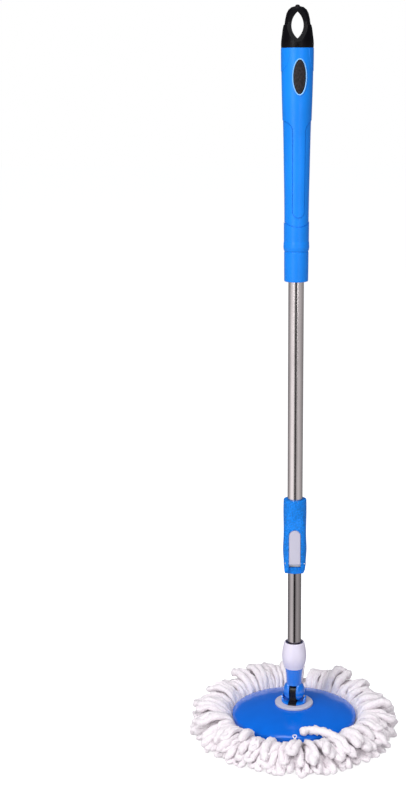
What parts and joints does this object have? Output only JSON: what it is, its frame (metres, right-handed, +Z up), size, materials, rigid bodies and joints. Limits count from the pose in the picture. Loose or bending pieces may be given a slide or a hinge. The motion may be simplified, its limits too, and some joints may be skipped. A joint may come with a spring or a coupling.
{
  "type": "spin mop",
  "caption": "Spin mop with a telescopic press-to-spin pole, flip lever lock, tilting disc head and a round lift-off cord refill",
  "frame": {"origin": "on the floor under the pole, the centre of the refill's flat underside", "axes": "+Z up along the pole; the lock lever and the grip's badge face -Y; +X to the right seen from the front"},
  "size_m": [0.272, 0.272, 0.917],
  "materials": {
    "yarn": "thick soft white microfibre cords, matt",
    "sewn_band": "thin white tape that the cords are sewn to",
    "refill_plastic": "white moulded snap ring",
    "disc_plastic": "glossy clear blue moulding",
    "hub_plastic": "pale grey-white moulding",
    "lug_plastic": "black moulding",
    "fork_plastic": "blue moulding",
    "bell_plastic": "white moulding with a faint lilac tint",
    "tube_steel": "polished stainless tube",
    "pin_steel": "plain steel pins and screws",
    "clutch_plastic": "natural acetal inside the pole",
    "collar_plastic": "blue moulding, fine matt grain",
    "lever_plastic": "pale grey moulding",
    "grip_plastic": "blue moulding, satin",
    "badge_plastic": "dark grained insert",
    "cap_plastic": "black moulding"
  },
  "bodies": {
    "refill": {"yarn_bundle": "yarn", "stitch_band": "sewn_band", "snap_ring": "refill_plastic"},
    "disc": {"mop_disc": "disc_plastic", "disc_rim": "disc_plastic", "hub_ring": "hub_plastic", "knuckle_base": "fork_plastic", "knuckle_lug": "lug_plastic", "clamp_washer": "pin_steel", "hub_screws": "pin_steel", "hub_bolt": "pin_steel", "hub_cover": "lug_plastic"},
    "lower_pole": {"pole_fork": "fork_plastic", "tilt_pin": "pin_steel", "lower_tube": "tube_steel", "fork_rivet": "pin_steel", "clutch_ring": "clutch_plastic"},
    "coupling_bell": {"coupling_bell": "bell_plastic"},
    "drive_carriage": {"slide_bush": "clutch_plastic", "clutch_spring": "pin_steel"},
    "drive_nut": {"drive_nut": "clutch_plastic"},
    "upper_handle": {"upper_tube": "tube_steel", "rod_anchor": "clutch_plastic", "anchor_pin": "pin_steel", "drive_rod": "pin_steel", "rod_stop": "pin_steel", "lock_collar": "collar_plastic", "collar_bush": "clutch_plastic", "lever_pin": "pin_steel", "hand_grip": "grip_plastic", "grip_badge": "badge_plastic", "hanging_cap": "cap_plastic"},
    "lock_lever": {"lock_lever": "lever_plastic"},
    "brake_pad": {"brake_pad": "clutch_plastic"}
  },
  "joints": [
    {"name": "refill_release", "type": "slide", "parent": "refill", "child": "disc", "axis": [0, 0, 1], "range_m": [0, 0.03]},
    {"name": "head_tilt", "type": "hinge", "parent": "disc", "child": "lower_pole", "pos_m": [0, 0, 0.058], "axis": [0.9848, -0.1736, 0], "range_deg": [-80, 80]},
    {"name": "bell_turn", "type": "hinge", "parent": "lower_pole", "child": "coupling_bell", "pos_m": [0, 0, 0.109], "axis": [0, 0, 1], "range_deg": [0, 90]},
    {"name": "head_spin", "type": "hinge", "parent": "lower_pole", "child": "drive_carriage", "pos_m": [0, 0, 0.578], "axis": [0, 0, 1], "continuous": true},
    {"name": "telescope", "type": "slide", "parent": "drive_carriage", "child": "upper_handle", "axis": [0, 0, 1], "range_m": [-0.09, 0.3]},
    {"name": "nut_spin", "type": "hinge", "parent": "drive_carriage", "child": "drive_nut", "pos_m": [0, 0, 0.585], "axis": [0, 0, 1], "range_deg": [-700, 212]},
    {"name": "lever_flip", "type": "hinge", "parent": "upper_handle", "child": "lock_lever", "pos_m": [0, -0.0134, 0.2345], "axis": [1, 0, 0], "range_deg": [0, 100]},
    {"name": "pad_release", "type": "slide", "parent": "upper_handle", "child": "brake_pad", "axis": [0, -1, 0], "range_m": [0, 0.0007]}
  ],
  "couplings": [
    {"joint": "nut_spin", "follows": "telescope", "rad_per_m": -40.537},
    {"joint": "pad_release", "follows": "lever_flip", "m_per_rad": 0.0004}
  ]
}
